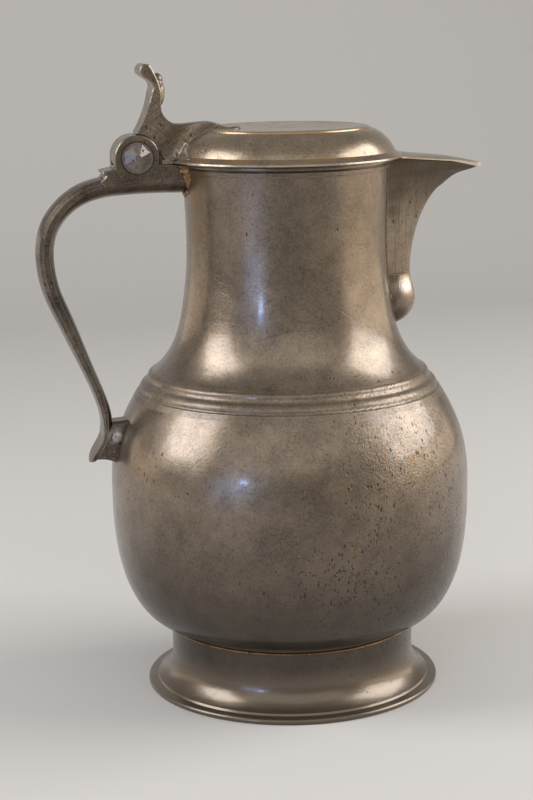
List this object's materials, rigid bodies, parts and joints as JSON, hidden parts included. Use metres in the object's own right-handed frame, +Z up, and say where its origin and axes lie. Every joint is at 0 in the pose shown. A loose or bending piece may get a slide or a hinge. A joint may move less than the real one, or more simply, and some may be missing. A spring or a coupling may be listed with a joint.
{
  "type": "lidded jug",
  "caption": "round-bellied pewter jug with a long open spout, strap handle and domed lid hinged at the handle, raised by a scrolled thumbpiece",
  "frame": {"origin": "centre of the circle the foot rests on", "axes": "+Z up, +X from the jug's axis towards the spout, -X towards the handle and the hinge"},
  "size_m": [0.1938, 0.1552, 0.2704],
  "materials": {
    "pewter": "satin",
    "dark_pewter": "satin"
  },
  "bodies": {
    "jug": {"foot": "pewter", "lower_bowl": "pewter", "upper_body": "pewter", "spout": "pewter", "spout_drop": "pewter", "handle": "dark_pewter", "handle_strut": "dark_pewter", "hinge_pin": "dark_pewter", "pin_head_near": "dark_pewter", "pin_head_far": "dark_pewter"},
    "lid": {"lid": "pewter", "thumbpiece": "pewter"}
  },
  "joints": [
    {"name": "lid_hinge", "type": "hinge", "parent": "jug", "child": "lid", "pos_m": [-0.0641, 0, 0.2322], "axis": [0, -1, 0], "range_deg": [0, 105]}
  ]
}
